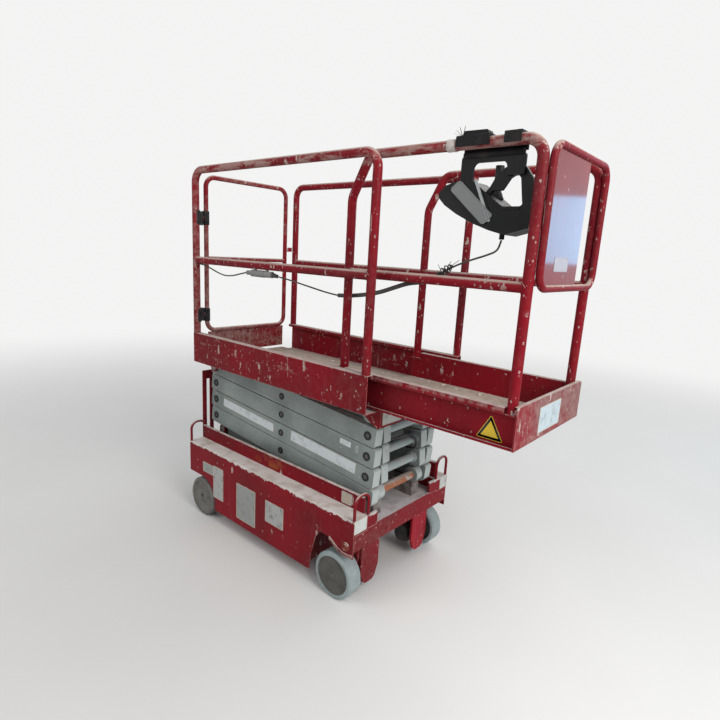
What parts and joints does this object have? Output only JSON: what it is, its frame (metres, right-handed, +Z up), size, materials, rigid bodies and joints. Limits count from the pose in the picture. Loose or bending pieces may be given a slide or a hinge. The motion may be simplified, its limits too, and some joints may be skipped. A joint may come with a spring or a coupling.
{
  "type": "scissor lift",
  "caption": "Self-propelled narrow scissor lift: stowed arm stack on a low wheeled chassis, railed platform with entry gate and slide-out deck.",
  "frame": {"origin": "on the floor under the centre of the machine's bounding box", "axes": "+X forward to the slide-out end, +Y to the machine's left, +Z up"},
  "size_m": [2.003, 0.76, 2.0152],
  "materials": {
    "red_paint": "glossy crimson paint, dusty",
    "arm_grey": "semi-matt grey paint, dusty",
    "tyre_pale": "matt non-marking rubber",
    "rim_dusty": "matt, dust-covered",
    "black_steel": "satin black",
    "chrome_rod": "polished",
    "battery_case": "matt",
    "grey_plastic": "matt moulded",
    "hook_steel": "satin",
    "cable_black": "matt",
    "station_black": "matt moulded, dusty",
    "signal_red": "satin"
  },
  "bodies": {
    "chassis": {"chassis_frame": "red_paint", "side_shell_right": "red_paint", "side_shell_left": "red_paint", "battery_blocks": "battery_case", "tie_down_loops": "red_paint", "ladder": "red_paint", "roller_tracks": "red_paint", "base_hinge": "red_paint", "rear_axle": "black_steel"},
    "steer_left": {"knuckle_left": "red_paint", "motor_left": "black_steel"},
    "steer_right": {"knuckle_right": "red_paint", "motor_right": "black_steel"},
    "steer_link": {"tie_rod": "black_steel"},
    "wheel_front_right": {"tyre_front_right": "tyre_pale", "rim_front_right": "rim_dusty"},
    "wheel_front_left": {"tyre_front_left": "tyre_pale", "rim_front_left": "rim_dusty"},
    "wheel_rear_right": {"tyre_rear_right": "tyre_pale", "rim_rear_right": "rim_dusty"},
    "wheel_rear_left": {"tyre_rear_left": "tyre_pale", "rim_rear_left": "rim_dusty"},
    "inner_1": {"inner_arms_1": "arm_grey"},
    "outer_1": {"outer_arms_1": "arm_grey"},
    "inner_2": {"inner_arms_2": "arm_grey", "hydraulic_hose": "cable_black"},
    "outer_2": {"outer_arms_2": "arm_grey"},
    "inner_3": {"inner_arms_3": "arm_grey"},
    "outer_3": {"outer_arms_3": "arm_grey"},
    "inner_4": {"inner_arms_4": "arm_grey"},
    "outer_4": {"outer_arms_4": "arm_grey"},
    "barrel": {"lift_barrel": "black_steel"},
    "ram": {"lift_rod": "chrome_rod"},
    "platform": {"platform_deck": "red_paint", "platform_sill_right": "red_paint", "platform_sill_left": "red_paint", "main_rail_right": "red_paint", "main_rail_left": "red_paint", "gate_hinges": "black_steel", "glide_pads": "battery_case", "harness_rear": "cable_black", "connector": "grey_plastic"},
    "entry_gate": {"gate": "red_paint"},
    "slide_out": {"slide_frame": "red_paint", "slide_deck": "red_paint", "slide_rail_right": "red_paint", "slide_rail_left": "red_paint", "guard_loop": "red_paint", "guard_sheet": "red_paint", "control_housing": "station_black", "control_hook": "hook_steel", "harness_front": "cable_black", "conduit": "cable_black", "control_cable": "cable_black", "control_cover": "grey_plastic", "joystick": "battery_case", "stop_button": "signal_red"}
  },
  "joints": [
    {"name": "lift", "type": "hinge", "parent": "chassis", "child": "inner_1", "pos_m": [-0.9084, 0, 0.484], "axis": [0, -1, 0], "range_deg": [0, 40.5]},
    {"name": "fold_outer_1", "type": "hinge", "parent": "inner_1", "child": "outer_1", "pos_m": [-0.3135, 0, 0.534], "axis": [0, -1, 0], "range_deg": [-81, 0]},
    {"name": "fold_outer_2", "type": "hinge", "parent": "inner_1", "child": "outer_2", "pos_m": [0.2814, 0, 0.584], "axis": [0, -1, 0], "range_deg": [-81, 0]},
    {"name": "fold_inner_2", "type": "hinge", "parent": "outer_2", "child": "inner_2", "pos_m": [-0.3135, 0, 0.634], "axis": [0, -1, 0], "range_deg": [0, 81]},
    {"name": "fold_outer_3", "type": "hinge", "parent": "inner_2", "child": "outer_3", "pos_m": [0.2814, 0, 0.684], "axis": [0, -1, 0], "range_deg": [-81, 0]},
    {"name": "fold_inner_3", "type": "hinge", "parent": "outer_3", "child": "inner_3", "pos_m": [-0.3135, 0, 0.734], "axis": [0, -1, 0], "range_deg": [0, 81]},
    {"name": "fold_outer_4", "type": "hinge", "parent": "inner_3", "child": "outer_4", "pos_m": [0.2814, 0, 0.784], "axis": [0, -1, 0], "range_deg": [-81, 0]},
    {"name": "fold_inner_4", "type": "hinge", "parent": "outer_4", "child": "inner_4", "pos_m": [-0.3135, 0, 0.834], "axis": [0, -1, 0], "range_deg": [0, 81]},
    {"name": "platform_level", "type": "hinge", "parent": "outer_4", "child": "platform", "pos_m": [-0.9084, 0, 0.884], "axis": [0, -1, 0], "range_deg": [0, 40.5]},
    {"name": "barrel_swing", "type": "hinge", "parent": "inner_1", "child": "barrel", "pos_m": [-0.76192, 0, 0.49631], "axis": [0, -1, 0], "range_deg": [0, 15.41]},
    {"name": "ram_travel", "type": "slide", "parent": "barrel", "child": "ram", "axis": [0.9814, 0, 0.1919], "range_m": [0, 0.7038]},
    {"name": "steer", "type": "hinge", "parent": "chassis", "child": "steer_left", "pos_m": [0.2305, 0.22, 0.25], "axis": [0, 0, 1], "range_deg": [-55, 55]},
    {"name": "steer_follow", "type": "hinge", "parent": "chassis", "child": "steer_right", "pos_m": [0.2305, -0.22, 0.25], "axis": [0, 0, 1], "range_deg": [-55, 55]},
    {"name": "link_swing", "type": "hinge", "parent": "steer_left", "child": "steer_link", "pos_m": [0.1505, 0.22, 0.24], "axis": [0, 0, 1], "range_deg": [-55, 55]},
    {"name": "spin_front_right", "type": "hinge", "parent": "steer_right", "child": "wheel_front_right", "pos_m": [0.2305, -0.34, 0.115], "axis": [0, 1, 0], "continuous": true},
    {"name": "spin_front_left", "type": "hinge", "parent": "steer_left", "child": "wheel_front_left", "pos_m": [0.2305, 0.34, 0.115], "axis": [0, 1, 0], "continuous": true},
    {"name": "spin_rear_right", "type": "hinge", "parent": "chassis", "child": "wheel_rear_right", "pos_m": [-0.8515, -0.34, 0.115], "axis": [0, 1, 0], "continuous": true},
    {"name": "spin_rear_left", "type": "hinge", "parent": "chassis", "child": "wheel_rear_left", "pos_m": [-0.8515, 0.34, 0.115], "axis": [0, 1, 0], "continuous": true},
    {"name": "gate_swing", "type": "hinge", "parent": "platform", "child": "entry_gate", "pos_m": [-0.9135, -0.329, 1.45], "axis": [0, 0, -1], "range_deg": [0, 75], "stiffness_Nm_per_rad": 6, "springref_deg": -8.59},
    {"name": "deck_slide", "type": "slide", "parent": "platform", "child": "slide_out", "axis": [1, 0, 0], "range_m": [-0.6, 0]}
  ],
  "couplings": [
    {"joint": "fold_outer_1", "follows": "lift", "ratio": -2},
    {"joint": "fold_outer_2", "follows": "lift", "ratio": -2},
    {"joint": "fold_inner_2", "follows": "lift", "ratio": 2},
    {"joint": "fold_outer_3", "follows": "lift", "ratio": -2},
    {"joint": "fold_inner_3", "follows": "lift", "ratio": 2},
    {"joint": "fold_outer_4", "follows": "lift", "ratio": -2},
    {"joint": "fold_inner_4", "follows": "lift", "ratio": 2},
    {"joint": "platform_level", "follows": "lift", "ratio": 1},
    {"joint": "barrel_swing", "follows": "lift", "ratio": 0.38018},
    {"joint": "ram_travel", "follows": "lift", "m_per_rad": 0.99554},
    {"joint": "steer_follow", "follows": "steer", "ratio": 1},
    {"joint": "link_swing", "follows": "steer", "ratio": -1}
  ]
}
